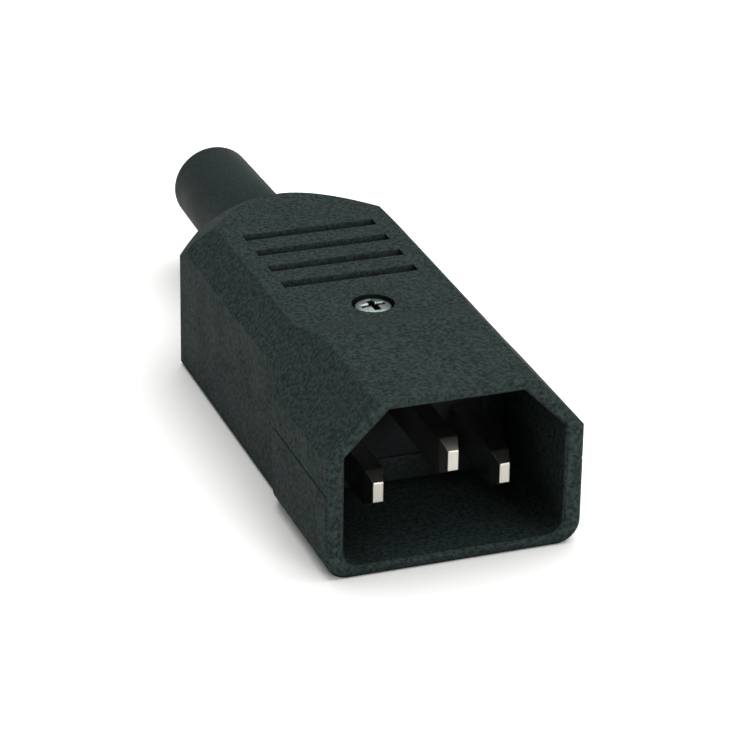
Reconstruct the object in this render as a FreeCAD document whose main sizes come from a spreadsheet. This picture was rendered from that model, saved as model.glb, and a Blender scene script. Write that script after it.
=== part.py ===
import FreeCAD, Part
import Sketcher
import os

# A rewireable inline plug: two half shells round a contact carrier, three flat pins with
# screw terminals, a cord clamp and a cable boot. Every piece is drawn from the front rim of
# the shroud (y = 0, y grows towards the cord, z = 0 is the underside) and is then placed so
# that the middle of the whole length lies at the origin.

doc = FreeCAD.newDocument("inline_plug")
sheet = doc.addObject("Spreadsheet::Sheet", "Dims")

# Driving sizes in millimetres
sizes = {
    # outside of the housing, measured from the socket
    "shroud_wall": 2.0,
    "roof_wall": 1.1,
    "shroud_reach": 17.0,
    "shoulder_run": 2.0,
    "flank_step": 1.2,
    "top_step": 1.2,
    "top_run": 5.5,
    "body_length": 58.5,
    "split_height": 9.7,
    "chamfer_width": 5.3,
    "chamfer_height": 6.0,
    "foot_radius": 2.6,
    "edge_radius": 0.5,
    "corner_cut": 4.1,
    "rear_bevel": 0.8,
    "rim_chamfer": 0.3,
    "seam_chamfer": 0.15,
    # conical crown that rounds the upper rear end
    "crown_drop": 0.3,
    "crown_overhang": 2.3,
    "crown_run": 12.5,
    "crown_rise": 5.0,
    # socket round the pins
    "socket_width": 24.2,
    "socket_height": 17.3,
    "socket_floor": 1.2,
    "socket_depth": 17.0,
    "socket_chamfer": 4.75,
    "socket_corner": 1.8,
    # inside of the shells
    "wall": 2.0,
    "bulkhead": 1.5,
    "rear_wall": 4.0,
    "window_width": 19.0,
    "window_height": 10.4,
    "rib_width": 1.0,
    "rib_thickness": 1.2,
    "fit_gap": 0.1,
    # grip grooves on the top
    "grip_count": 4,
    "grip_pitch": 4.5,
    "grip_start": 33.0,
    "grip_length": 15.5,
    "grip_width": 1.7,
    "grip_floor_width": 0.85,
    "grip_depth": 0.7,
    # screw and nut that hold the shells together
    "screw_place": 25.4,
    "screw_sink": 0.1,
    "screw_head_diameter": 4.1,
    "screw_head_height": 1.8,
    "screw_diameter": 2.5,
    "screw_tip_height": 1.0,
    "well_gap": 0.3,
    "boss_wall": 1.2,
    "nut_width": 5.0,
    "nut_height": 2.0,
    "nut_recess": 0.5,
    # contacts
    "pole_spacing": 14.0,
    "pole_rise": 4.0,
    "pole_mid_height": 9.2,
    "blade_width": 2.0,
    "blade_height": 4.0,
    "line_setback": 4.0,
    "earth_setback": 1.0,
    "tip_width": 1.1,
    "tip_height": 2.2,
    "tip_length": 1.5,
    "flange_thickness": 2.0,
    "flange_drop": 1.0,
    "terminal_width": 4.8,
    "terminal_height": 7.0,
    "terminal_length": 8.0,
    "wire_hole_diameter": 3.2,
    "wire_hole_depth": 6.0,
    "strip_thickness": 1.5,
    "strip_width": 5.6,
    "earth_terminal_place": 30.2,
    "earth_terminal_length": 6.5,
    "earth_terminal_height": 6.3,
    "terminal_screw_diameter": 2.6,
    "terminal_screw_length": 2.4,
    "terminal_screw_head_diameter": 4.4,
    "terminal_screw_head_height": 1.8,
    # cord clamp
    "cord_diameter": 7.2,
    "clamp_place": 42.5,
    "clamp_width": 5.0,
    "clamp_end_gap": 0.4,
    "clamp_bar_thickness": 2.0,
    "clamp_seat_height": 8.7,
    "clamp_boss_diameter": 4.8,
    "clamp_screw_diameter": 2.6,
    "clamp_screw_length": 8.0,
    "clamp_screw_head_diameter": 4.6,
    "clamp_screw_head_height": 1.8,
    "saddle_width": 12.4,
    "saddle_thickness": 2.2,
    # cable boot
    "boot_reach": 25.0,
    "boot_root_diameter": 10.6,
    "boot_end_diameter": 9.8,
    "boot_end_chamfer": 0.6,
    "boot_flange_diameter": 14.6,
    "boot_flange_thickness": 2.0,
    "boot_web": 2.0,
    # screw heads: a cross recess outside, plain slots inside
    "cross_length": 2.6,
    "cross_width": 0.65,
    "cross_depth": 0.9,
    "head_chamfer": 0.5,
    "slot_width": 0.7,
    "slot_depth": 0.8,
}

for row, (name, size) in enumerate(sizes.items(), start=1):
    sheet.set(f"A{row}", name)
    sheet.set(f"B{row}", str(size))
    sheet.setAlias(f"B{row}", name)
doc.recompute()

# Derived lengths, written once as formulas of the driving sizes
rim_place = "-(Dims.body_length + Dims.boot_reach) / 2"
half_socket = "(Dims.socket_width / 2)"
half_shroud = f"({half_socket} + Dims.shroud_wall)"
half_body = f"({half_shroud} - Dims.flank_step)"
socket_roof = "(Dims.socket_floor + Dims.socket_height)"
body_height = f"({socket_roof} + Dims.roof_wall)"
rear_top = f"({body_height} - Dims.top_step)"
crown_radius = f"({half_body} + Dims.crown_overhang)"
crown_axis_height = f"({rear_top} - Dims.crown_drop - {crown_radius})"
side_top = f"({body_height} - Dims.chamfer_height)"
chamfer_slope = "(Dims.chamfer_height / Dims.chamfer_width)"
chamfer_inset = f"(Dims.wall * sqrt(1 + {chamfer_slope} ^ 2))"
half_chamber = f"({half_body} - Dims.wall)"
chamber_front = "(Dims.socket_depth + Dims.bulkhead)"
chamber_back = "(Dims.body_length - Dims.rear_wall)"
chamber_side_top = f"({side_top} + {chamfer_slope} * ({half_shroud} - {half_chamber}) - {chamfer_inset})"
chamber_roof = f"({rear_top} - Dims.wall)"
flange_top = f"({chamber_roof} - Dims.flange_drop)"
window_floor = "(Dims.pole_mid_height - Dims.window_height / 2)"
window_roof = "(Dims.pole_mid_height + Dims.window_height / 2)"
carrier_back = f"({chamber_front} + Dims.flange_thickness)"
web_back = f"({chamber_back} - Dims.boot_flange_thickness - Dims.fit_gap)"
web_front = f"({web_back} - Dims.boot_web)"
half_clamp_bar = f"({half_chamber} - Dims.clamp_end_gap)"
half_clamp_span = f"({half_clamp_bar} - Dims.clamp_screw_head_diameter / 2)"
well_diameter = "(Dims.screw_head_diameter + 2 * Dims.well_gap)"
well_floor = f"({rear_top} - Dims.screw_sink - Dims.screw_head_height)"
screw_length = f"({well_floor} - Dims.screw_tip_height)"
shank_hole = "(Dims.screw_diameter + 2 * Dims.fit_gap)"
live_height = "(Dims.pole_mid_height - Dims.pole_rise / 2)"
earth_height = "(Dims.pole_mid_height + Dims.pole_rise / 2)"
strip_top = f"({earth_height} + Dims.blade_height / 2)"
strip_floor = f"({strip_top} - Dims.strip_thickness)"
boss_radius = f"({shank_hole} / 2 + Dims.boss_wall)"
earth_blade_back = f"(Dims.screw_place - {boss_radius} - Dims.fit_gap)"
nut_pocket_width = "(Dims.nut_width + 2 * Dims.fit_gap)"
upper_boss_diameter = f"({well_diameter} + 2 * Dims.boss_wall)"
nut_seat_diameter = f"({nut_pocket_width} + 2 * Dims.boss_wall)"
live_screw_place = f"({carrier_back} + Dims.terminal_length - Dims.wire_hole_depth / 2)"
live_screw_seat = f"({live_height} + Dims.terminal_height / 2)"
terminal_floor = f"({live_height} - Dims.terminal_height / 2)"
earth_screw_place = "(Dims.earth_terminal_place + Dims.earth_terminal_length / 2)"
cord_way = "(Dims.cord_diameter / 2 + Dims.fit_gap)"
boot_way = "(Dims.boot_root_diameter / 2 + Dims.fit_gap)"
boot_flange_way = "(Dims.boot_flange_diameter / 2 + Dims.fit_gap)"

# Cuts run past the faces they open by this much.
overrun = "Dims.wall"

# Points closer than this, in millimetres, count as one place.
nearness = 0.001


def chamber_half_width_at(height):
    return f"({half_shroud} - ({height} - {side_top} + {chamfer_inset}) / {chamfer_slope})"


def value(formula):
    return float(sheet.evalExpression(formula))


def new_body(name, across="0", along="0", up="0"):
    body = doc.addObject("PartDesign::Body", name)
    body.Label = name
    body.setExpression("Placement.Base.x", across)
    body.setExpression("Placement.Base.y", f"{rim_place} + {along}")
    body.setExpression("Placement.Base.z", up)
    return body


def origin_feature(body, role):
    return next(f for f in body.Origin.OriginFeatures if f.Role == role)


def new_sketch(body, name, plane, shift=("0", "0", "0")):
    sketch = body.newObject("Sketcher::SketchObject", name)
    sketch.AttachmentSupport = [(origin_feature(body, plane), "")]
    sketch.MapMode = "FlatFace"
    for axis, formula in zip("xyz", shift):
        sketch.setExpression(f"AttachmentOffset.Base.{axis}", formula)
    return sketch


def pin_point(sketch, geometry, corner, across, up):
    # A point on an axis lies on it, any other is held by its two distances from the origin.
    for kind, formula, axis in (("DistanceX", across, -2), ("DistanceY", up, -1)):
        if formula == "0":
            sketch.addConstraint(Sketcher.Constraint("PointOnObject", geometry, corner, axis))
            continue
        rule = Sketcher.Constraint(kind, -1, 1, geometry, corner, value(formula))
        place = sketch.addConstraint(rule)
        sketch.setExpression(f"Constraints[{place}]", formula)


def add_outline(sketch, points):
    # A closed outline of straight sides through points given as pairs of formulas
    corners = [FreeCAD.Vector(value(across), value(up), 0) for across, up in points]
    first = sketch.GeometryCount
    count = len(points)
    for i in range(count):
        sketch.addGeometry(Part.LineSegment(corners[i], corners[(i + 1) % count]), False)
    for i in range(count):
        following = first + (i + 1) % count
        sketch.addConstraint(Sketcher.Constraint("Coincident", first + i, 2, following, 1))
    for i, (across, up) in enumerate(points):
        pin_point(sketch, first + i, 1, across, up)


def add_circle(sketch, across, up, diameter):
    centre = FreeCAD.Vector(value(across), value(up), 0)
    place = sketch.addGeometry(Part.Circle(centre, FreeCAD.Vector(0, 0, 1), value(diameter) / 2), False)
    rule = sketch.addConstraint(Sketcher.Constraint("Diameter", place, value(diameter)))
    sketch.setExpression(f"Constraints[{rule}]", diameter)
    pin_point(sketch, place, 3, across, up)


def box_points(left, right, low, high):
    return [(left, low), (right, low), (right, high), (left, high)]


def even_box(half_width, low, high):
    return box_points(f"-({half_width})", half_width, low, high)


def hexagon(across_flats):
    # Corners on the first axis, flats square to the second
    corner = f"({across_flats} / sqrt(3))"
    return [
        (corner, "0"),
        (f"{corner} / 2", f"{across_flats} / 2"),
        (f"-{corner} / 2", f"{across_flats} / 2"),
        (f"-{corner}", "0"),
        (f"-{corner} / 2", f"-{across_flats} / 2"),
        (f"{corner} / 2", f"-{across_flats} / 2"),
    ]


def pad(body, sketch, length, reverse=False):
    feature = body.newObject("PartDesign::Pad", f"{sketch.Name}_pad")
    feature.Profile = sketch
    feature.setExpression("Length", length)
    feature.Reversed = reverse
    doc.recompute()
    return feature


def pocket(body, sketch, length=None, reverse=False, both_ways=False):
    before = body.Shape.Volume
    feature = body.newObject("PartDesign::Pocket", f"{sketch.Name}_pocket")
    feature.Profile = sketch
    if length is None:
        feature.Type = "ThroughAll"
    else:
        feature.setExpression("Length", length)
    if both_ways:
        feature.SideType = "Symmetric"
    feature.Reversed = reverse
    doc.recompute()
    if not body.Shape.Volume < before:
        raise RuntimeError(f"{feature.Name} cuts nothing")
    return feature


def revolve(body, sketch):
    feature = body.newObject("PartDesign::Revolution", f"{sketch.Name}_turned")
    feature.Profile = sketch
    feature.ReferenceAxis = (sketch, ["H_Axis"])
    doc.recompute()
    return feature


def groove(body, sketch):
    before = body.Shape.Volume
    feature = body.newObject("PartDesign::Groove", f"{sketch.Name}_groove")
    feature.Profile = sketch
    feature.ReferenceAxis = (sketch, ["H_Axis"])
    doc.recompute()
    if not body.Shape.Volume < before:
        raise RuntimeError(f"{feature.Name} cuts nothing")
    return feature


def edge_names(feature, wanted):
    return [f"Edge{i}" for i, edge in enumerate(feature.Shape.Edges, start=1) if wanted(edge)]


def soften(body, kind, size, wanted):
    # A fillet or chamfer on the edges of the body that the test accepts
    base = body.Tip
    names = edge_names(base, wanted)
    if not names:
        raise RuntimeError(f"no edge to soften on {body.Name}")
    feature = body.newObject(f"PartDesign::{kind}", f"{base.Name}_soft")
    feature.Base = (base, names)
    feature.setExpression("Radius" if kind == "Fillet" else "Size", size)
    doc.recompute()
    return feature


def near(a, b):
    return abs(a - b) < nearness


def all_near(edge, coordinate, target):
    return all(near(getattr(vertex.Point, coordinate), target) for vertex in edge.Vertexes)


def runs_along(edge, coordinate):
    ends = [vertex.Point for vertex in edge.Vertexes]
    if len(ends) != 2:
        return False
    others = [c for c in "xyz" if c != coordinate]
    return all(near(getattr(ends[0], c), getattr(ends[1], c)) for c in others)


def trim_flanks(body):
    # Behind the shroud both flanks step in over a short sloping shoulder, and at the rear end
    # the corners are cut off.
    flanks = new_sketch(body, f"{body.Name}_flanks", "XY_Plane")
    past_end = f"Dims.body_length + {overrun}"
    for side in ("-", ""):
        add_outline(flanks, [
            (f"{side}({half_shroud} + {overrun})", "Dims.shroud_reach"),
            (f"{side}({half_shroud})", "Dims.shroud_reach"),
            (f"{side}({half_body})", "Dims.shroud_reach + Dims.shoulder_run"),
            (f"{side}({half_body})", "Dims.body_length - Dims.corner_cut"),
            (f"{side}({half_body} - Dims.corner_cut)", "Dims.body_length"),
            (f"{side}({half_body} - Dims.corner_cut)", past_end),
            (f"{side}({half_shroud} + {overrun})", past_end),
        ])
    pocket(body, flanks, reverse=True)


def soften_rim(body):
    # Broken edges round the mouth and a fine groove along the seam of the shroud
    seam = value("Dims.split_height")
    flank = value(half_shroud)
    soften(body, "Chamfer", "Dims.rim_chamfer",
           lambda edge: all_near(edge, "y", 0) and not all_near(edge, "z", seam))
    soften(body, "Chamfer", "Dims.seam_chamfer",
           lambda edge: runs_along(edge, "y") and all_near(edge, "z", seam)
           and near(abs(edge.Vertexes[0].X), flank))


def cut_window(body):
    # Opening in the bulkhead that the front of the contact carrier fills
    window = new_sketch(body, f"{body.Name}_window", "XZ_Plane")
    add_outline(window, even_box("Dims.window_width / 2", window_floor, window_roof))
    pocket(body, window, f"{chamber_front} + Dims.fit_gap")


def cut_cord_way(body):
    # Round way for the cord over the saddle and, through the solid rear end, for the boot,
    # with a ring groove that holds the boot's flange
    way = new_sketch(body, f"{body.Name}_cord_way", "YZ_Plane", ("0", "Dims.split_height", "0"))
    way_front = "(Dims.clamp_place - Dims.clamp_width / 2)"
    add_outline(way, [
        (way_front, "0"),
        (f"Dims.body_length + {overrun}", "0"),
        (f"Dims.body_length + {overrun}", boot_way),
        (chamber_back, boot_way),
        (chamber_back, boot_flange_way),
        (web_back, boot_flange_way),
        (web_back, boot_way),
        (web_front, boot_way),
        (web_front, cord_way),
        (way_front, cord_way),
    ])
    return groove(body, way)


def build_upper_housing():
    body = new_body("upper_housing")
    section = new_sketch(body, "upper_section", "XZ_Plane")
    flat_half = f"({half_shroud} - Dims.chamfer_width)"
    add_outline(section, [
        (f"-({half_shroud})", "Dims.split_height"),
        (half_shroud, "Dims.split_height"),
        (half_shroud, side_top),
        (flat_half, body_height),
        (f"-{flat_half}", body_height),
        (f"-({half_shroud})", side_top),
    ])
    pad(body, section, "Dims.body_length", reverse=True)
    trim_flanks(body)

    # The long edges of the sloping sides are eased.
    shoulder = value(side_top)
    soften(body, "Fillet", "Dims.edge_radius", lambda edge: runs_along(edge, "y")
           and edge.Vertexes[0].Z > shoulder - nearness)

    # The top falls over a slope to a lower level, on which the screw and the grips lie.
    fall = new_sketch(body, "top_fall", "YZ_Plane")
    past_end = f"Dims.body_length + {overrun}"
    add_outline(fall, [
        ("Dims.shroud_reach", body_height),
        ("Dims.shroud_reach + Dims.top_run", rear_top),
        (past_end, rear_top),
        (past_end, f"{body_height} + {overrun}"),
        ("Dims.shroud_reach", f"{body_height} + {overrun}"),
    ])
    pocket(body, fall, f"2 * {half_shroud}", both_ways=True)

    crown = new_sketch(body, "crown", "YZ_Plane", ("0", crown_axis_height, "0"))
    crown_outer = f"{crown_radius} + Dims.crown_rise"
    bevel_outer = f"{crown_radius} + Dims.rear_bevel * Dims.crown_rise / Dims.crown_run"
    add_outline(crown, [
        ("Dims.body_length", f"{crown_radius} - Dims.rear_bevel"),
        (past_end, f"{crown_radius} - Dims.rear_bevel"),
        (past_end, crown_outer),
        ("Dims.body_length - Dims.crown_run", crown_outer),
        ("Dims.body_length - Dims.rear_bevel", bevel_outer),
    ])
    groove(body, crown)

    socket = new_sketch(body, "upper_socket", "XZ_Plane")
    add_outline(socket, [
        (f"-({half_socket})", "Dims.split_height"),
        (half_socket, "Dims.split_height"),
        (half_socket, f"{socket_roof} - Dims.socket_chamfer"),
        (f"{half_socket} - Dims.socket_chamfer", socket_roof),
        (f"-({half_socket} - Dims.socket_chamfer)", socket_roof),
        (f"-({half_socket})", f"{socket_roof} - Dims.socket_chamfer"),
    ])
    pocket(body, socket, "Dims.socket_depth")
    soften_rim(body)

    chamber = new_sketch(body, "upper_chamber", "XZ_Plane", ("0", "0", f"-{chamber_front}"))
    roof_half = chamber_half_width_at(chamber_roof)
    add_outline(chamber, [
        (f"-{half_chamber}", "Dims.split_height"),
        (half_chamber, "Dims.split_height"),
        (half_chamber, chamber_side_top),
        (roof_half, chamber_roof),
        (f"-{roof_half}", chamber_roof),
        (f"-{half_chamber}", chamber_side_top),
    ])
    pocket(body, chamber, f"{web_front} - {chamber_front}")
    cut_window(body)

    boss = new_sketch(body, "upper_boss", "XY_Plane", ("0", "0", f"{strip_top}"))
    add_circle(boss, "0", "Dims.screw_place", upper_boss_diameter)
    pad(body, boss, f"{chamber_roof} - {strip_top} + Dims.fit_gap")
    cut_cord_way(body)

    well = new_sketch(body, "screw_well", "XY_Plane", ("0", "0", well_floor))
    add_circle(well, "0", "Dims.screw_place", well_diameter)
    pocket(body, well, reverse=True)
    bore = new_sketch(body, "upper_screw_bore", "XY_Plane")
    add_circle(bore, "0", "Dims.screw_place", shank_hole)
    pocket(body, bore, reverse=True)

    grip = new_sketch(body, "grip", "YZ_Plane")
    add_outline(grip, [
        ("Dims.grip_start - Dims.grip_width / 2", f"{rear_top} + {overrun}"),
        ("Dims.grip_start - Dims.grip_width / 2", rear_top),
        ("Dims.grip_start - Dims.grip_floor_width / 2", f"{rear_top} - Dims.grip_depth"),
        ("Dims.grip_start + Dims.grip_floor_width / 2", f"{rear_top} - Dims.grip_depth"),
        ("Dims.grip_start + Dims.grip_width / 2", rear_top),
        ("Dims.grip_start + Dims.grip_width / 2", f"{rear_top} + {overrun}"),
    ])
    grip_cut = pocket(body, grip, "Dims.grip_length", both_ways=True)
    grips = body.newObject("PartDesign::LinearPattern", "grips")
    grips.Originals = [grip_cut]
    grips.Direction = (origin_feature(body, "Y_Axis"), [""])
    grips.setExpression("Length", "Dims.grip_pitch * (Dims.grip_count - 1)")
    grips.setExpression("Occurrences", "Dims.grip_count")
    body.Tip = grips
    doc.recompute()
    return body


def build_lower_housing():
    body = new_body("lower_housing")
    section = new_sketch(body, "lower_section", "XZ_Plane")
    add_outline(section, even_box(half_shroud, "0", "Dims.split_height"))
    pad(body, section, "Dims.body_length", reverse=True)
    soften(body, "Fillet", "Dims.foot_radius",
           lambda edge: runs_along(edge, "y") and all_near(edge, "z", 0))
    trim_flanks(body)
    heel = new_sketch(body, "heel_bevel", "YZ_Plane")
    add_outline(heel, [
        (f"Dims.body_length - Dims.rear_bevel - {overrun}", f"-{overrun}"),
        (f"Dims.body_length + {overrun}", f"-{overrun}"),
        (f"Dims.body_length + {overrun}", f"Dims.rear_bevel + {overrun}"),
    ])
    pocket(body, heel, f"2 * {half_shroud}", both_ways=True)

    socket = new_sketch(body, "lower_socket", "XZ_Plane")
    add_outline(socket, even_box(half_socket, "Dims.socket_floor", "Dims.split_height"))
    pocket(body, socket, "Dims.socket_depth")
    floor = value("Dims.socket_floor")
    soften(body, "Fillet", "Dims.socket_corner",
           lambda edge: runs_along(edge, "y") and all_near(edge, "z", floor))
    soften_rim(body)

    chamber = new_sketch(body, "lower_chamber", "XZ_Plane", ("0", "0", f"-{chamber_front}"))
    add_outline(chamber, even_box(half_chamber, "Dims.wall", "Dims.split_height"))
    pocket(body, chamber, f"{web_front} - {chamber_front}")
    cut_window(body)

    boss = new_sketch(body, "lower_boss", "XY_Plane", ("0", "0", "Dims.wall"))
    add_circle(boss, "0", "Dims.screw_place", f"2 * {boss_radius}")
    pad(body, boss, f"{strip_floor} - Dims.wall")
    nut_seat = new_sketch(body, "nut_seat", "XY_Plane", ("0", "0", "Dims.wall"))
    add_circle(nut_seat, "0", "Dims.screw_place", nut_seat_diameter)
    pad(body, nut_seat, "Dims.nut_height + Dims.nut_recess + Dims.boss_wall - Dims.wall")

    clamp = new_sketch(body, "clamp_bosses", "XY_Plane", ("0", "0", "Dims.wall"))
    for side in ("-", ""):
        add_circle(clamp, f"{side}{half_clamp_span}", "Dims.clamp_place", "Dims.clamp_boss_diameter")
    pad(body, clamp, "Dims.clamp_seat_height - Dims.wall")

    saddle = new_sketch(body, "saddle", "XY_Plane", ("0", "0", "Dims.wall"))
    add_outline(saddle, even_box("Dims.saddle_width / 2",
                                 "Dims.clamp_place - Dims.saddle_thickness / 2",
                                 "Dims.clamp_place + Dims.saddle_thickness / 2"))
    pad(body, saddle, "Dims.clamp_seat_height - Dims.wall")

    # Low ribs under the terminals keep the carrier against the bulkhead.
    ribs = new_sketch(body, "carrier_ribs", "XY_Plane", ("0", "0", "Dims.wall"))
    rib_front = f"{carrier_back} + Dims.fit_gap"
    for side in ("-", ""):
        add_outline(ribs, box_points(f"{side}({half_chamber} - Dims.rib_width)", f"{side}{half_chamber}",
                                     rib_front, f"{rib_front} + Dims.rib_thickness"))
    pad(body, ribs, f"{terminal_floor} - Dims.fit_gap - Dims.wall")
    cut_cord_way(body)

    bore = new_sketch(body, "lower_screw_bore", "XY_Plane")
    add_circle(bore, "0", "Dims.screw_place", shank_hole)
    pocket(body, bore, reverse=True)

    tapped = new_sketch(body, "clamp_screw_bores", "XY_Plane", ("0", "0", "Dims.clamp_seat_height"))
    for side in ("-", ""):
        add_circle(tapped, f"{side}{half_clamp_span}", "Dims.clamp_place",
                   "Dims.clamp_screw_diameter + 2 * Dims.fit_gap")
    pocket(body, tapped, "Dims.clamp_seat_height - Dims.wall")

    nut = new_sketch(body, "nut_pocket", "XY_Plane", ("0", "Dims.screw_place", "0"))
    add_outline(nut, hexagon(nut_pocket_width))
    pocket(body, nut, "Dims.nut_height + Dims.nut_recess", reverse=True)
    return body


def build_contact_carrier():
    body = new_body("contact_carrier")
    gap = "Dims.fit_gap"
    front = new_sketch(body, "carrier_front", "XZ_Plane", ("0", "0", "-Dims.socket_depth"))
    add_outline(front, even_box(f"Dims.window_width / 2 - {gap}",
                                f"{window_floor} + {gap}", f"{window_roof} - {gap}"))
    pad(body, front, "Dims.bulkhead + Dims.flange_thickness", reverse=True)

    flange = new_sketch(body, "carrier_flange", "XZ_Plane", ("0", "0", f"-{chamber_front}"))
    top_half = f"({chamber_half_width_at(flange_top)} - {gap})"
    add_outline(flange, [
        (f"-({half_chamber} - {gap})", "Dims.wall"),
        (f"{half_chamber} - {gap}", "Dims.wall"),
        (f"{half_chamber} - {gap}", f"{chamber_side_top} - {gap}"),
        (top_half, flange_top),
        (f"-{top_half}", flange_top),
        (f"-({half_chamber} - {gap})", f"{chamber_side_top} - {gap}"),
    ])
    pad(body, flange, "Dims.flange_thickness", reverse=True)

    slots = new_sketch(body, "blade_slots", "XZ_Plane")
    for across, height in (("-Dims.pole_spacing / 2", live_height),
                           ("0", earth_height),
                           ("Dims.pole_spacing / 2", live_height)):
        half_slot = "(Dims.blade_width / 2)"
        half_rise = "(Dims.blade_height / 2)"
        add_outline(slots, box_points(f"{across} - {half_slot}", f"{across} + {half_slot}",
                                      f"{height} - {half_rise}", f"{height} + {half_rise}"))
    pocket(body, slots)
    return body


def add_blade(body, height, setback, back):
    # A flat pin with a bevelled tip, from its tip to the given depth
    tip = new_sketch(body, f"{body.Name}_tip", "XZ_Plane", ("0", "0", f"-{setback}"))
    add_outline(tip, even_box("Dims.tip_width / 2", f"{height} - Dims.tip_height / 2",
                              f"{height} + Dims.tip_height / 2"))
    root = new_sketch(body, f"{body.Name}_root", "XZ_Plane", ("0", "0", f"-({setback} + Dims.tip_length)"))
    add_outline(root, even_box("Dims.blade_width / 2", f"{height} - Dims.blade_height / 2",
                               f"{height} + Dims.blade_height / 2"))
    pad(body, root, f"{back} - {setback} - Dims.tip_length", reverse=True)
    loft = body.newObject("PartDesign::AdditiveLoft", f"{body.Name}_bevel")
    loft.Profile = tip
    loft.Sections = [(root, [""])]
    doc.recompute()


def build_live_contact(name, side):
    body = new_body(name, across=f"{side}Dims.pole_spacing / 2")
    add_blade(body, live_height, "Dims.line_setback", carrier_back)

    block = new_sketch(body, f"{name}_terminal", "XZ_Plane", ("0", "0", f"-{carrier_back}"))
    add_outline(block, even_box("Dims.terminal_width / 2", terminal_floor, live_screw_seat))
    pad(body, block, "Dims.terminal_length", reverse=True)

    wire = new_sketch(body, f"{name}_wire_hole", "XZ_Plane",
                      ("0", live_height, f"-({carrier_back} + Dims.terminal_length)"))
    add_circle(wire, "0", "0", "Dims.wire_hole_diameter")
    pocket(body, wire, "Dims.wire_hole_depth", reverse=True)

    tapped = new_sketch(body, f"{name}_tapped_hole", "XY_Plane",
                        ("0", live_screw_place, live_screw_seat))
    add_circle(tapped, "0", "0", "Dims.terminal_screw_diameter")
    pocket(body, tapped, "Dims.terminal_height / 2")
    return body


def build_earth_contact():
    body = new_body("earth_contact")
    add_blade(body, earth_height, "Dims.earth_setback", earth_blade_back)

    # A flat strip, clamped between the two screw bosses, leads to the terminal behind them.
    # Its narrow neck passes through the blade's slot in the carrier.
    strip = new_sketch(body, "earth_strip", "XY_Plane", ("0", "0", strip_floor))
    half_neck = "(Dims.blade_width / 2)"
    half_strip = "(Dims.strip_width / 2)"
    neck_back = f"{carrier_back} + Dims.fit_gap"
    strip_back = "Dims.earth_terminal_place + Dims.earth_terminal_length"
    add_outline(strip, [
        (f"-{half_neck}", "Dims.socket_depth"),
        (half_neck, "Dims.socket_depth"),
        (half_neck, neck_back),
        (half_strip, neck_back),
        (half_strip, strip_back),
        (f"-{half_strip}", strip_back),
        (f"-{half_strip}", neck_back),
        (f"-{half_neck}", neck_back),
    ])
    pad(body, strip, "Dims.strip_thickness")

    block = new_sketch(body, "earth_terminal", "XZ_Plane", ("0", "0", "-Dims.earth_terminal_place"))
    block_floor = f"{strip_top} - Dims.earth_terminal_height"
    add_outline(block, even_box("Dims.terminal_width / 2", block_floor, strip_top))
    pad(body, block, "Dims.earth_terminal_length", reverse=True)

    passage = new_sketch(body, "earth_screw_passage", "XY_Plane", ("0", "Dims.screw_place", strip_floor))
    add_circle(passage, "0", "0", shank_hole)
    pocket(body, passage, "Dims.strip_thickness", reverse=True)

    wire = new_sketch(body, "earth_wire_hole", "XZ_Plane",
                      ("0", f"{strip_top} - Dims.earth_terminal_height / 2",
                       "-(Dims.earth_terminal_place + Dims.earth_terminal_length)"))
    add_circle(wire, "0", "0", "Dims.wire_hole_diameter")
    pocket(body, wire, "Dims.earth_terminal_length", reverse=True)

    tapped = new_sketch(body, "earth_tapped_hole", "XY_Plane", ("0", earth_screw_place, strip_top))
    add_circle(tapped, "0", "0", "Dims.terminal_screw_diameter")
    pocket(body, tapped, "Dims.earth_terminal_height / 2")
    return body


def build_screw(name, across, along, up, kind, length):
    # A screw that stands on its head's seat, with its shank pointing down
    body = new_body(name, across, along, up)
    shank = new_sketch(body, f"{name}_shank", "XY_Plane")
    add_circle(shank, "0", "0", f"Dims.{kind}_diameter")
    pad(body, shank, length, reverse=True)
    head = new_sketch(body, f"{name}_head", "XY_Plane")
    add_circle(head, "0", "0", f"Dims.{kind}_head_diameter")
    pad(body, head, f"Dims.{kind}_head_height")
    return body


def build_slotted_screw(name, across, along, up, kind):
    body = build_screw(name, across, along, up, kind, f"Dims.{kind}_length")
    slot = new_sketch(body, f"{name}_slot", "XY_Plane", ("0", "0", f"Dims.{kind}_head_height"))
    add_outline(slot, even_box(f"Dims.{kind}_head_diameter", "-Dims.slot_width / 2", "Dims.slot_width / 2"))
    pocket(body, slot, "Dims.slot_depth")
    return body


def build_housing_screw():
    body = build_screw("housing_screw", "0", "Dims.screw_place", well_floor, "screw", screw_length)
    top = value("Dims.screw_head_height")
    soften(body, "Chamfer", "Dims.head_chamfer", lambda edge: all_near(edge, "z", top))
    cross = new_sketch(body, "screw_cross", "XY_Plane", ("0", "0", "Dims.screw_head_height"))
    half_length = "(Dims.cross_length / 2)"
    half_width = "(Dims.cross_width / 2)"
    add_outline(cross, [
        (half_length, f"-{half_width}"), (half_length, half_width),
        (half_width, half_width), (half_width, half_length),
        (f"-{half_width}", half_length), (f"-{half_width}", half_width),
        (f"-{half_length}", half_width), (f"-{half_length}", f"-{half_width}"),
        (f"-{half_width}", f"-{half_width}"), (f"-{half_width}", f"-{half_length}"),
        (half_width, f"-{half_length}"), (half_width, f"-{half_width}"),
    ])
    pocket(body, cross, "Dims.cross_depth")
    return body


def group(name, members):
    node = doc.addObject("Part::Compound", name)
    node.Label = name
    node.Links = members
    doc.recompute()
    return node


def build_terminal_screws():
    places = {
        "line": ("-Dims.pole_spacing / 2", live_screw_place, live_screw_seat),
        "neutral": ("Dims.pole_spacing / 2", live_screw_place, live_screw_seat),
        "earth": ("0", earth_screw_place, strip_top),
    }
    return group("terminal_screws", [
        build_slotted_screw(f"{pole}_terminal_screw", *place, "terminal_screw")
        for pole, place in places.items()
    ])


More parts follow.
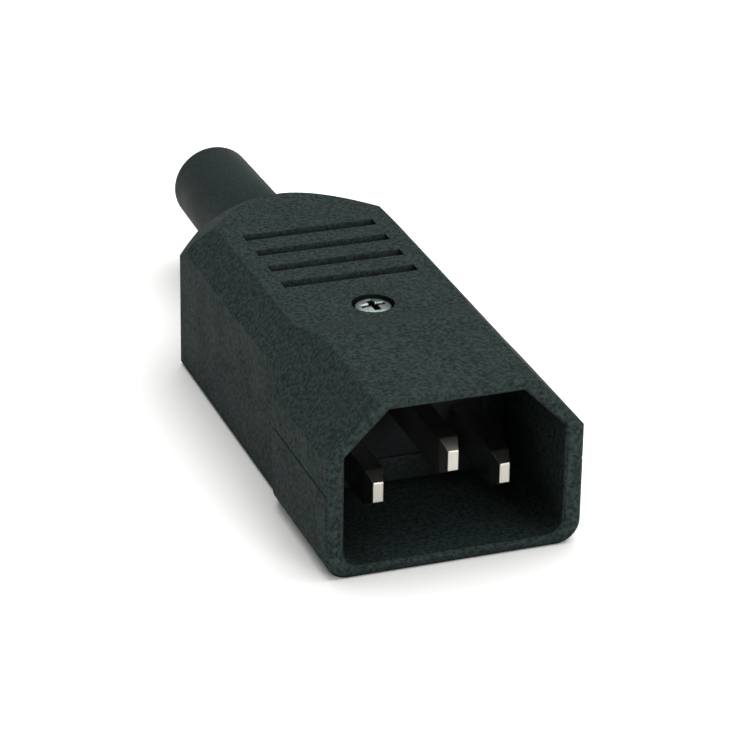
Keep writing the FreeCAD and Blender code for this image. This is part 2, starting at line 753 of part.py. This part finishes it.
def build_cord_clamp_bar():
    body = new_body("cord_clamp_bar", along="Dims.clamp_place - Dims.clamp_width / 2")
    seat = "Dims.clamp_seat_height"
    bar = new_sketch(body, "clamp_bar", "XZ_Plane")
    add_outline(bar, even_box(half_clamp_bar, seat, f"{seat} + Dims.clamp_bar_thickness"))
    pad(body, bar, "Dims.clamp_width", reverse=True)
    arch = new_sketch(body, "clamp_arch", "XZ_Plane", ("0", "Dims.split_height", "0"))
    add_circle(arch, "0", "0", "Dims.cord_diameter + 2 * Dims.clamp_bar_thickness")
    pad(body, arch, "Dims.clamp_width", reverse=True)
    under = new_sketch(body, "clamp_underside", "XZ_Plane")
    add_outline(under, even_box(half_clamp_bar, "0", seat))
    pocket(body, under)
    throat = new_sketch(body, "clamp_throat", "XZ_Plane", ("0", "Dims.split_height", "0"))
    add_circle(throat, "0", "0", "Dims.cord_diameter")
    pocket(body, throat)
    holes = new_sketch(body, "clamp_holes", "XY_Plane")
    for side in ("-", ""):
        add_circle(holes, f"{side}{half_clamp_span}", "Dims.clamp_width / 2",
                   "Dims.clamp_screw_diameter + 2 * Dims.fit_gap")
    pocket(body, holes, reverse=True)
    return body


def build_cord_clamp_screws():
    seat = "Dims.clamp_seat_height + Dims.clamp_bar_thickness"
    return group("cord_clamp_screws", [
        build_slotted_screw(f"{name}_clamp_screw", f"{side}{half_clamp_span}",
                            "Dims.clamp_place", seat, "clamp_screw")
        for name, side in (("left", "-"), ("right", ""))
    ])


def build_housing_nut():
    body = new_body("housing_nut", along="Dims.screw_place", up="Dims.nut_recess")
    blank = new_sketch(body, "nut_blank", "XY_Plane")
    add_outline(blank, hexagon("Dims.nut_width"))
    pad(body, blank, "Dims.nut_height")
    bore = new_sketch(body, "nut_bore", "XY_Plane")
    add_circle(bore, "0", "0", "Dims.screw_diameter")
    pocket(body, bore, reverse=True)
    return body


def build_cable_boot():
    body = new_body("cable_boot", up="Dims.split_height")
    sleeve = new_sketch(body, "boot_sleeve", "YZ_Plane")
    flange_front = f"({chamber_back} - Dims.boot_flange_thickness)"
    end = "(Dims.body_length + Dims.boot_reach)"
    bore = "Dims.cord_diameter / 2"
    add_outline(sleeve, [
        (web_front, bore),
        (end, bore),
        (end, "Dims.boot_end_diameter / 2"),
        ("Dims.body_length", "Dims.boot_root_diameter / 2"),
        (chamber_back, "Dims.boot_root_diameter / 2"),
        (chamber_back, "Dims.boot_flange_diameter / 2"),
        (flange_front, "Dims.boot_flange_diameter / 2"),
        (flange_front, "Dims.boot_root_diameter / 2"),
        (web_front, "Dims.boot_root_diameter / 2"),
    ])
    revolve(body, sleeve)
    tail = value(end)
    outer = value("Dims.boot_end_diameter") / 2
    soften(body, "Chamfer", "Dims.boot_end_chamfer",
           lambda edge: all_near(edge, "y", tail) and edge.BoundBox.ZMax > outer - nearness)
    return body


pieces = [
    build_upper_housing(),
    build_lower_housing(),
    build_contact_carrier(),
    build_live_contact("line_contact", "-"),
    build_live_contact("neutral_contact", ""),
    build_earth_contact(),
    build_terminal_screws(),
    build_housing_screw(),
    build_housing_nut(),
    build_cord_clamp_bar(),
    build_cord_clamp_screws(),
    build_cable_boot(),
]
doc.recompute()

for item in doc.Objects:
    if "Invalid" in item.State or "Error" in item.State:
        raise RuntimeError(f"{item.Name} failed: {item.State}")
for piece in pieces:
    if piece.Shape.isNull() or not piece.Shape.isValid():
        raise RuntimeError(f"{piece.Label} has no valid shape")

os.makedirs("parts", exist_ok=True)
for piece in pieces:
    piece.Shape.exportStep(f"parts/{piece.Label}.step")
    box = piece.Shape.BoundBox
    print(f"{piece.Label}: {len(piece.Shape.Solids)} solid(s), volume {piece.Shape.Volume:.1f}, "
          f"{box.XLength:.2f} x {box.YLength:.2f} x {box.ZLength:.2f}")
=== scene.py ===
import math

import bmesh
import bpy
from mathutils import Matrix, Vector


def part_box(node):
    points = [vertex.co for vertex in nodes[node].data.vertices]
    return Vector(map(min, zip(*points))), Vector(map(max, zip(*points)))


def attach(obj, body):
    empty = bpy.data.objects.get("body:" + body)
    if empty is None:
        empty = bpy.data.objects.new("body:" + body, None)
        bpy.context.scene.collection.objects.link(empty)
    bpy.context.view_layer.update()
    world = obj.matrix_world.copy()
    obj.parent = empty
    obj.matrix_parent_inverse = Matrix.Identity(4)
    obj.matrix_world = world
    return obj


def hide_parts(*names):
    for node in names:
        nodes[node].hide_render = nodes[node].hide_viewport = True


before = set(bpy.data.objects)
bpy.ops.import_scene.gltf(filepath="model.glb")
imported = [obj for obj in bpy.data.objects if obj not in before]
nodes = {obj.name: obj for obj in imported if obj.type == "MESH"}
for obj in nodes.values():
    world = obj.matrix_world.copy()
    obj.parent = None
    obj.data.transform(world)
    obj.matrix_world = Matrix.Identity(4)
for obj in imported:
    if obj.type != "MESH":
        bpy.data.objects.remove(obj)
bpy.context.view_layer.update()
mm = 0.001
print("frame loaded:", len(nodes), "nodes")


def fromHex(code):
    # sRGB hex to the linear colour that shaders use
    parts = [int(code[i:i + 2], 16) / 255 for i in (1, 3, 5)]
    linear = [p / 12.92 if p <= 0.04045 else ((p + 0.055) / 1.055) ** 2.4 for p in parts]
    return (*linear, 1.0)


def addNode(tree, kind, sockets=None, **settings):
    # a node with its settings, each socket given a constant or a link
    node = tree.nodes.new(kind)
    for name, setting in settings.items():
        setattr(node, name, setting)
    for name, source in (sockets or {}).items():
        if isinstance(source, bpy.types.NodeSocket):
            tree.links.new(source, node.inputs[name])
        else:
            node.inputs[name].default_value = source
    return node


def newMaterial(name):
    material = bpy.data.materials.new(name)
    material.use_nodes = True
    tree = material.node_tree
    shader = tree.nodes["Principled BSDF"]
    place = addNode(tree, "ShaderNodeTexCoord").outputs["Object"]
    return material, tree, shader, place


# Glass filled nylon from a spark eroded tool: matte slate black, a clear pepper of grain,
# edges soft and hardly lighter, partly from hand wear and partly a painted highlight
shellFinish = {
    "colour": "#141b19",
    "fleck": "#2d3837",
    "rubbedAndHighlit": "#37413f",
    # colour of the painted shade in crevices and inside the socket
    "paintedShade": "#090d0c",
    "grainMm": 0.42,      # real spark grain is near 0.05 mm, drawn coarser so that it shows
    "grainHeightMm": 0.06,
    "grainStrength": 0.8,
    "mottleMm": 6.0,
    "edgeMm": 0.22,
    "edgeLightCosine": (0.99, 0.80),    # bend of an edge where its lighter colour (hand wear and painted highlight) begins, and where it is full
    "edgeLightPatches": (0.25, 0.90),   # the lighter edges come in patches, in their hand wear and their painted highlight alike
    "creviceShadeMm": 1.4,             # how far out of a groove its painted shade reaches
    "creviceShadeOpen": (0.93, 0.55),  # share of open sky where the painted shade begins, and where it is full
    "creviceShadeMost": 0.85,
    "socketShadeMm": 12.0,       # walls that face each other within this get painted shade, darkest inside the socket
    "socketShadeOpen": (0.85, 0.55),
    "socketShadeMost": 0.80,
    "roughness": (0.62, 0.80),
    "gloss": 0.04,        # the spark grain scatters nearly all of the mirror reflection
    "sheen": 0.0,
    "ior": 1.53,
}


def makeMouldedNylon(name, finish):
    material, tree, shader, place = newMaterial(name)
    grain = addNode(tree, "ShaderNodeTexNoise", {
        "Vector": place, "Scale": 1 / (finish["grainMm"] * mm), "Detail": 3.0, "Roughness": 0.7})
    mottle = addNode(tree, "ShaderNodeTexNoise", {
        "Vector": place, "Scale": 1 / (finish["mottleMm"] * mm), "Detail": 3.0, "Roughness": 0.55})
    softened = addNode(tree, "ShaderNodeBevel", {"Radius": finish["edgeMm"] * mm}, samples=4)
    sharp = addNode(tree, "ShaderNodeNewGeometry")
    # edge mask from the bend between softened and sharp normals: it lightens every edge, partly as
    # hand wear, partly as a painted highlight
    bend = addNode(tree, "ShaderNodeVectorMath", {
        0: softened.outputs["Normal"], 1: sharp.outputs["Normal"]}, operation="DOT_PRODUCT")
    begin, full = finish["edgeLightCosine"]
    rubAndHighlight = addNode(tree, "ShaderNodeMapRange", {
        "Value": bend.outputs["Value"], "From Min": begin, "From Max": full})
    # painted shade: colour darkens in grooves, seams and other crevices that see little open sky
    crevice = addNode(tree, "ShaderNodeAmbientOcclusion", {"Distance": finish["creviceShadeMm"] * mm},
                      samples=6)
    begin, full = finish["creviceShadeOpen"]
    creviceShade = addNode(tree, "ShaderNodeMapRange", {
        "Value": crevice.outputs["AO"], "From Min": begin, "From Max": full,
        "To Max": finish["creviceShadeMost"]})
    # painted shade: the socket inside and other places closed in by near walls are coloured darker
    inner = addNode(tree, "ShaderNodeAmbientOcclusion", {"Distance": finish["socketShadeMm"] * mm},
                    samples=6, only_local=True)
    begin, full = finish["socketShadeOpen"]
    smooth = addNode(tree, "ShaderNodeMapRange", {
        "Value": inner.outputs["AO"], "From Min": begin, "From Max": full,
        "To Max": finish["socketShadeMost"]})
    dark = addNode(tree, "ShaderNodeMath", {
        0: creviceShade.outputs["Result"], 1: smooth.outputs["Result"]}, operation="MAXIMUM")
    # noise lies mostly between 0.3 and 0.7, so each use of it is spread from about there
    low, high = finish["edgeLightPatches"]
    patch = addNode(tree, "ShaderNodeMapRange", {
        "Value": mottle.outputs["Fac"], "From Min": 0.35, "From Max": 0.65,
        "To Min": low, "To Max": high})
    wearAndHighlight = addNode(tree, "ShaderNodeMath", {
        0: rubAndHighlight.outputs["Result"], 1: patch.outputs["Result"]}, operation="MULTIPLY")
    pepper = addNode(tree, "ShaderNodeMapRange", {
        "Value": grain.outputs["Fac"], "From Min": 0.36, "From Max": 0.64})
    tint = addNode(tree, "ShaderNodeMix", {
        0: pepper.outputs["Result"], 6: fromHex(finish["colour"]), 7: fromHex(finish["fleck"])},
        data_type="RGBA")
    # lighter edge colour: partly hand wear, partly painted highlight
    edged = addNode(tree, "ShaderNodeMix", {
        0: wearAndHighlight.outputs["Value"], 6: tint.outputs[2], 7: fromHex(finish["rubbedAndHighlit"])},
        data_type="RGBA")
    # painted shade mixed in, darkest in crevices and inside the socket
    shadeMixed = addNode(tree, "ShaderNodeMix", {
        0: dark.outputs["Value"], 6: edged.outputs[2], 7: fromHex(finish["paintedShade"])},
        data_type="RGBA")
    low, high = finish["roughness"]
    gloss = addNode(tree, "ShaderNodeMapRange", {
        "Value": mottle.outputs["Fac"], "From Min": 0.3, "From Max": 0.7,
        "To Min": low, "To Max": high})
    relief = addNode(tree, "ShaderNodeBump", {
        "Height": grain.outputs["Fac"], "Normal": softened.outputs["Normal"],
        "Strength": finish["grainStrength"], "Distance": finish["grainHeightMm"] * mm})
    tree.links.new(shadeMixed.outputs[2], shader.inputs["Base Color"])
    tree.links.new(gloss.outputs["Result"], shader.inputs["Roughness"])
    tree.links.new(relief.outputs["Normal"], shader.inputs["Normal"])
    shader.inputs["IOR"].default_value = finish["ior"]
    shader.inputs["Specular IOR Level"].default_value = finish["gloss"]
    shader.inputs["Sheen Weight"].default_value = finish["sheen"]
    return material


# Unfilled carrier resin, plain tool: a deeper black and a little smoother than the shells
carrierFinish = dict(shellFinish, colour="#0a0e0f", fleck="#111617", rubbedAndHighlit="#181e1e",
                     grainHeightMm=0.015, roughness=(0.42, 0.56), gloss=0.10)

# Soft vinyl sleeve: the same black, a satin skin with faint dust and a soft light rim
bootFinish = dict(shellFinish, colour="#0f1817", fleck="#1a2725", rubbedAndHighlit="#36413f",
                  grainHeightMm=0.02, edgeMm=0.45, roughness=(0.52, 0.66), gloss=0.035,
                  sheen=0.042)

mouldedShell = makeMouldedNylon("glassFilledNylonMoulded", shellFinish)
mouldedCarrier = makeMouldedNylon("carrierResinMoulded", carrierFinish)
softBoot = makeMouldedNylon("softVinylMoulded", bootFinish)


# Nickel plated brass, drawn as flat bar: bright, slightly warm metal with fine lines along the pin
pinFinish = {"bright": "#bdbab3", "dull": "#b0aca3", "lineMm": 0.10, "lineLengthMm": 8.0,
             "cloudMm": 2.5, "reliefMm": 0.001, "reliefStrength": 0.25, "edgeMm": 0.18,
             "roughness": (0.22, 0.27)}

# Zinc plated steel, turned and tumbled: cooler grey with cloudy patches of passivation
screwFinish = {"bright": "#c3cbca", "dull": "#8d9796", "lineMm": 0.35, "lineLengthMm": 0.35,
               "cloudMm": 2.5, "reliefMm": 0.01, "reliefStrength": 0.25, "edgeMm": 0.12,
               "roughness": (0.24, 0.38)}


def makePlatedMetal(name, finish):
    material, tree, shader, place = newMaterial(name)
    across = 1 / (finish["lineMm"] * mm)
    along = 1 / (finish["lineLengthMm"] * mm)
    stretch = addNode(tree, "ShaderNodeMapping", {
        "Vector": place, "Scale": (across, along, across)})
    lines = addNode(tree, "ShaderNodeTexNoise", {
        "Vector": stretch.outputs["Vector"], "Scale": 1.0, "Detail": 3.0, "Roughness": 0.6})
    cloud = addNode(tree, "ShaderNodeTexNoise", {
        "Vector": place, "Scale": 1 / (finish["cloudMm"] * mm), "Detail": 2.0})
    both = addNode(tree, "ShaderNodeMath", {
        0: lines.outputs["Fac"], 1: cloud.outputs["Fac"]}, operation="MULTIPLY")
    # the product of two noises lies mostly between 0.12 and 0.40
    spread = addNode(tree, "ShaderNodeMapRange", {
        "Value": both.outputs["Value"], "From Min": 0.12, "From Max": 0.40})
    tint = addNode(tree, "ShaderNodeMix", {
        0: spread.outputs["Result"], 6: fromHex(finish["dull"]), 7: fromHex(finish["bright"])},
        data_type="RGBA")
    if "recessShade" in finish:
        # painted shade in the cross recess and round the head's rim, between these two levels
        foot, level = finish["recessShadeSpan"]
        height = addNode(tree, "ShaderNodeSeparateXYZ", {"Vector": place})
        depth = addNode(tree, "ShaderNodeMapRange", {
            "Value": height.outputs["Z"], "To Min": 1.0, "To Max": 0.0,
            "From Min": level - finish["recessShadeFadeMm"] * mm, "From Max": level})
        inHead = addNode(tree, "ShaderNodeMath", {
            0: height.outputs["Z"], 1: foot}, operation="GREATER_THAN")
        amount = addNode(tree, "ShaderNodeMath", {
            0: depth.outputs["Result"], 1: inHead.outputs["Value"]}, operation="MULTIPLY")
        tint = addNode(tree, "ShaderNodeMix", {
            0: amount.outputs["Value"], 6: tint.outputs[2], 7: fromHex(finish["recessShade"])},
            data_type="RGBA")
    low, high = finish["roughness"]
    gloss = addNode(tree, "ShaderNodeMapRange", {
        "Value": lines.outputs["Fac"], "From Min": 0.3, "From Max": 0.7,
        "To Min": high, "To Max": low})
    softened = addNode(tree, "ShaderNodeBevel", {"Radius": finish["edgeMm"] * mm}, samples=4)
    relief = addNode(tree, "ShaderNodeBump", {
        "Height": lines.outputs["Fac"], "Normal": softened.outputs["Normal"],
        "Strength": finish["reliefStrength"], "Distance": finish["reliefMm"] * mm})
    tree.links.new(tint.outputs[2], shader.inputs["Base Color"])
    tree.links.new(gloss.outputs["Result"], shader.inputs["Roughness"])
    tree.links.new(relief.outputs["Normal"], shader.inputs["Normal"])
    shader.inputs["Metallic"].default_value = 1.0
    return material


platedPin = makePlatedMetal("nickelPlatedBrassDrawn", pinFinish)
platedScrew = makePlatedMetal("zincPlatedSteelTumbled", screwFinish)
print("materials made")

finishOf = {
    "upper_housing": mouldedShell,
    "lower_housing": mouldedShell,
    "contact_carrier": mouldedCarrier,
    "cord_clamp_bar": mouldedCarrier,
    "line_contact": platedPin,
    "neutral_contact": platedPin,
    "earth_contact": platedPin,
    "terminal_screws": platedScrew,
    "housing_screw": platedScrew,
    "housing_nut": platedScrew,
    "cord_clamp_screws": platedScrew,
    "cable_boot": softBoot,
}
for nodeName, finish in finishOf.items():
    slots = nodes[nodeName].data.materials
    slots.clear()
    slots.append(finish)
print("CAD nodes dressed")


# The screw on the top: an oval head with a tapered cross recess, and a cut thread below it
screwSizes = {
    "headMm": 1.80,       # from the seat to the top of the dome
    "rimMm": 1.50,        # height of the straight rim under the dome
    "domeSteps": 10,
    "recessMm": 1.40,     # depth of the cross
    "wingMm": 1.45,       # from the middle to a wing's end
    "wingWidthMm": 0.80,
    "taper": 0.55,        # share of the cross that is left at its foot
    "flareMm": 0.40,      # the cutting cross goes on this far above the head
    "flare": 1.12,        # and is this much larger there
    "easeMm": 0.05,       # broken edges of the head
    "easeAngle": 35,
    "easeSteps": 2,
    "smoothAngle": 38,    # flatter edges than this are shaded smooth
    "turn": 5,            # degrees that the driver left the cross turned by
    "recessShadeMm": 0.17,      # painted shade starts this far below the top of the head
    "pitchMm": 0.45,
    "crestMm": 1.25,      # radius over the thread
    "threadMm": 0.26,     # depth of the thread
    "ringSteps": 64,      # faces round the head
    "coreSteps": 32,      # faces round the shank
    "turnSteps": 20,      # pieces in one turn of the thread
}


def buildScrewHead(sizes, radius, height):
    mesh = bmesh.new()
    rim = sizes["rimMm"] * mm
    profile = [(radius, 0.0)]
    for step in range(sizes["domeSteps"]):
        turn = math.pi / 2 * step / sizes["domeSteps"]
        profile.append((radius * math.cos(turn), rim + (height - rim) * math.sin(turn)))
    count = sizes["ringSteps"]
    around = [2 * math.pi * i / count for i in range(count)]
    rings = [[mesh.verts.new((r * math.cos(a), r * math.sin(a), z)) for a in around]
             for r, z in profile]
    foot = mesh.verts.new((0, 0, 0))
    crown = mesh.verts.new((0, 0, height))
    for i in range(count):
        j = (i + 1) % count
        for lower, upper in zip(rings, rings[1:]):
            mesh.faces.new((lower[i], lower[j], upper[j], upper[i]))
        mesh.faces.new((foot, rings[0][j], rings[0][i]))
        mesh.faces.new((crown, rings[-1][i], rings[-1][j]))
    return mesh


def buildCross(sizes, height):
    mesh = bmesh.new()
    long = sizes["wingMm"] * mm
    half = sizes["wingWidthMm"] / 2 * mm
    outline = [(long, -half), (long, half), (half, half), (half, long),
               (-half, long), (-half, half), (-long, half), (-long, -half),
               (-half, -half), (-half, -long), (half, -long), (half, -half)]
    levels = ((height + sizes["flareMm"] * mm, sizes["flare"]), (height, 1.0),
              (height - sizes["recessMm"] * mm, sizes["taper"]))
    rings = [[mesh.verts.new((x * scale, y * scale, z)) for x, y in outline] for z, scale in levels]
    driven = Matrix.Rotation(math.radians(sizes["turn"]), 3, "Z")
    bmesh.ops.rotate(mesh, verts=mesh.verts, matrix=driven)
    count = len(outline)
    for upper, lower in zip(rings, rings[1:]):
        for i in range(count):
            j = (i + 1) % count
            mesh.faces.new((lower[i], lower[j], upper[j], upper[i]))
    mesh.faces.new(rings[0])
    mesh.faces.new(list(reversed(rings[-1])))
    bmesh.ops.recalc_face_normals(mesh, faces=mesh.faces)
    return mesh


def newPiece(name, mesh):
    data = bpy.data.meshes.new(name)
    mesh.to_mesh(data)
    mesh.free()
    piece = bpy.data.objects.new(name, data)
    bpy.context.scene.collection.objects.link(piece)
    return piece


def settle(piece):
    # the evaluated shape becomes the piece's own plain mesh
    view = bpy.context.evaluated_depsgraph_get()
    data = bpy.data.meshes.new_from_object(piece.evaluated_get(view))
    piece.modifiers.clear()
    piece.data = data


def makeThreadTree():
    tree = bpy.data.node_groups.new("cutThread", "GeometryNodeTree")
    for name in ("Length", "Pitch", "Core radius", "Crest radius"):
        tree.interface.new_socket(name, in_out="INPUT", socket_type="NodeSocketFloat")
    for name in ("Core steps", "Turn steps"):
        tree.interface.new_socket(name, in_out="INPUT", socket_type="NodeSocketInt")
    tree.interface.new_socket("Material", in_out="INPUT", socket_type="NodeSocketMaterial")
    tree.interface.new_socket("Geometry", in_out="OUTPUT", socket_type="NodeSocketGeometry")
    given = addNode(tree, "NodeGroupInput").outputs
    turns = addNode(tree, "ShaderNodeMath", {
        0: given["Length"], 1: given["Pitch"]}, operation="DIVIDE")
    depth = addNode(tree, "ShaderNodeMath", {
        0: given["Crest radius"], 1: given["Core radius"]}, operation="SUBTRACT")
    halfDepth = addNode(tree, "ShaderNodeMath", {0: depth.outputs[0], 1: 0.5}, operation="MULTIPLY")
    path = addNode(tree, "ShaderNodeMath", {
        0: given["Core radius"], 1: halfDepth.outputs[0]}, operation="ADD")
    helix = addNode(tree, "GeometryNodeCurveSpiral", {
        "Resolution": given["Turn steps"], "Rotations": turns.outputs[0],
        "Start Radius": path.outputs[0], "End Radius": path.outputs[0], "Height": given["Length"]})
    tooth = addNode(tree, "GeometryNodeCurvePrimitiveQuadrilateral", {
        "Width": depth.outputs[0], "Height": depth.outputs[0]})
    ridge = addNode(tree, "GeometryNodeCurveToMesh", {
        "Curve": helix.outputs[0], "Profile Curve": tooth.outputs[0], "Fill Caps": True})
    core = addNode(tree, "GeometryNodeMeshCylinder", {
        "Vertices": given["Core steps"], "Radius": given["Core radius"], "Depth": given["Length"]})
    middle = addNode(tree, "ShaderNodeMath", {0: given["Length"], 1: 0.5}, operation="MULTIPLY")
    lift = addNode(tree, "ShaderNodeCombineXYZ", {"Z": middle.outputs[0]})
    raised = addNode(tree, "GeometryNodeTransform", {
        "Geometry": core.outputs["Mesh"], "Translation": lift.outputs[0]})
    joined = addNode(tree, "GeometryNodeJoinGeometry", {"Geometry": ridge.outputs[0]})
    tree.links.new(raised.outputs[0], joined.inputs["Geometry"])
    plain = addNode(tree, "GeometryNodeRealizeInstances", {"Geometry": joined.outputs[0]})
    dressed = addNode(tree, "GeometryNodeSetMaterial", {
        "Geometry": plain.outputs[0], "Material": given["Material"]})
    addNode(tree, "NodeGroupOutput", {"Geometry": dressed.outputs[0]})
    return tree


def setInput(modifier, name, setting):
    for item in modifier.node_group.interface.items_tree:
        if item.name == name and item.in_out == "INPUT":
            modifier[item.identifier] = setting


screwLow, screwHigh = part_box("housing_screw")
seatLevel = screwHigh.z - screwSizes["headMm"] * mm
screwPlace = Vector(((screwLow.x + screwHigh.x) / 2, (screwLow.y + screwHigh.y) / 2, seatLevel))
headRadius = (screwHigh.x - screwLow.x) / 2
headHeight = screwHigh.z - seatLevel

# The same zinc plating, darker, with painted shade in the cross and round the head's rim
shadedScrew = makePlatedMetal("zincPlatedSteelShadedRecess", dict(
    screwFinish, bright="#848e8c", dull="#5a6360", recessShade="#08090a", recessShadeFadeMm=0.14,
    recessShadeSpan=(seatLevel, screwHigh.z - screwSizes["recessShadeMm"] * mm)))

screwHead = newPiece("ovalHeadScrew", buildScrewHead(screwSizes, headRadius, headHeight))
crossTool = newPiece("crossTool", buildCross(screwSizes, headHeight))
cut = screwHead.modifiers.new("cross", "BOOLEAN")
cut.operation = "DIFFERENCE"
cut.solver = "EXACT"
cut.object = crossTool
ease = screwHead.modifiers.new("ease", "BEVEL")
ease.width = screwSizes["easeMm"] * mm
ease.segments = screwSizes["easeSteps"]
ease.limit_method = "ANGLE"
ease.angle_limit = math.radians(screwSizes["easeAngle"])
settle(screwHead)
bpy.data.objects.remove(crossTool)

shank = bpy.data.objects.new("screwShank", bpy.data.meshes.new("screwShank"))
bpy.context.scene.collection.objects.link(shank)
threadCut = shank.modifiers.new("thread", "NODES")
threadCut.node_group = makeThreadTree()
setInput(threadCut, "Length", seatLevel - screwLow.z)
setInput(threadCut, "Pitch", screwSizes["pitchMm"] * mm)
setInput(threadCut, "Core radius", (screwSizes["crestMm"] - screwSizes["threadMm"]) * mm)
setInput(threadCut, "Crest radius", screwSizes["crestMm"] * mm)
setInput(threadCut, "Core steps", screwSizes["coreSteps"])
setInput(threadCut, "Turn steps", screwSizes["turnSteps"])
setInput(threadCut, "Material", shadedScrew)
settle(shank)

whole = bmesh.new()
whole.from_mesh(shank.data)
bmesh.ops.translate(whole, verts=whole.verts, vec=(0, 0, screwLow.z - seatLevel))
whole.from_mesh(screwHead.data)
bmesh.ops.translate(whole, verts=whole.verts, vec=screwPlace)
for face in whole.faces:
    face.smooth = True
smoothLimit = math.radians(screwSizes["smoothAngle"])
for edge in whole.edges:
    edge.smooth = edge.is_manifold and edge.calc_face_angle(0) < smoothLimit
bpy.data.objects.remove(shank)
bpy.data.objects.remove(screwHead)
ovalScrew = newPiece("ovalHeadScrew", whole)
ovalScrew.data.materials.append(shadedScrew)
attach(ovalScrew, "root")
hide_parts("housing_screw")
print("screw made:", len(ovalScrew.data.polygons), "faces")


# Pale floor, soft lights and the camera
stageSizes = {"floorMm": 6000, "floorSteps": 8, "roomColour": "#ffffff", "roomLight": 0.46,
              "lampAimMm": (0, -10, 10)}
floorSteps = stageSizes["floorSteps"]
floorMesh = bmesh.new()
bmesh.ops.create_grid(floorMesh, x_segments=floorSteps, y_segments=floorSteps,
                      size=stageSizes["floorMm"] / 2 * mm)
floor = newPiece("paleFloor", floorMesh)

# Uncoated card: white, dull, no glare under the lamps
cardFinish = {"colour": "#f4f4f2", "roughness": 0.9}
paleCard = bpy.data.materials.new("paleCardMatt")
paleCard.use_nodes = True
cardShader = paleCard.node_tree.nodes["Principled BSDF"]
cardShader.inputs["Base Color"].default_value = fromHex(cardFinish["colour"])
cardShader.inputs["Roughness"].default_value = cardFinish["roughness"]
floor.data.materials.append(paleCard)

world = bpy.data.worlds.new("softRoom")
bpy.context.scene.world = world
world.use_nodes = True
sky = world.node_tree.nodes["Background"]
sky.inputs["Color"].default_value = fromHex(stageSizes["roomColour"])
sky.inputs["Strength"].default_value = stageSizes["roomLight"]

lamps = {
    "topSoftbox": {"place": (0.22, 0.15, 1.0), "size": 1.4, "watts": 17.0},
    "frontFill": {"place": (0.32, -1.10, 0.32), "size": 0.5, "watts": 7.8},
    "sideFill": {"place": (-0.95, 0.05, 0.08), "size": 0.4, "watts": 0.9},
}
lampAim = Vector(stageSizes["lampAimMm"]) * mm
for lampName, lamp in lamps.items():
    light = bpy.data.lights.new(lampName, "AREA")
    light.shape = "SQUARE"
    light.size = lamp["size"]
    light.energy = lamp["watts"]
    holder = bpy.data.objects.new(lampName, light)
    holder.location = lamp["place"]
    holder.rotation_euler = (Vector(lamp["place"]) - lampAim).to_track_quat("Z", "Y").to_euler()
    bpy.context.scene.collection.objects.link(holder)

cameraSizes = {
    "azimuth": 19.97,
    "elevation": 25.22,
    "roll": 0.80,
    "distanceMm": 370.46,
    "targetMm": (0, -11.75, 10),
    "lens": 162.25,
    "shift": (0.0230, -0.0247),
    "nearMm": 10,
}
azimuth = math.radians(cameraSizes["azimuth"])
elevation = math.radians(cameraSizes["elevation"])
roll = math.radians(cameraSizes["roll"])
back = Vector((-math.sin(azimuth) * math.cos(elevation), -math.cos(azimuth) * math.cos(elevation),
               math.sin(elevation)))
right = (-back).cross(Vector((0, 0, 1))).normalized()
up = right.cross(-back)
rolledRight = right * math.cos(roll) + up * math.sin(roll)
rolledUp = up * math.cos(roll) - right * math.sin(roll)
turn = Matrix((rolledRight, rolledUp, back)).transposed().to_4x4()
lens = bpy.data.cameras.new("catalogueCamera")
lens.lens = cameraSizes["lens"]
lens.shift_x, lens.shift_y = cameraSizes["shift"]
lens.clip_start = cameraSizes["nearMm"] * mm
camera = bpy.data.objects.new("catalogueCamera", lens)
camera.matrix_world = Matrix.Translation(
    Vector(cameraSizes["targetMm"]) * mm + back * cameraSizes["distanceMm"] * mm) @ turn
bpy.context.scene.collection.objects.link(camera)
bpy.context.scene.camera = camera
bpy.context.scene.view_settings.view_transform = "Standard"
print("stage, lights and camera set")
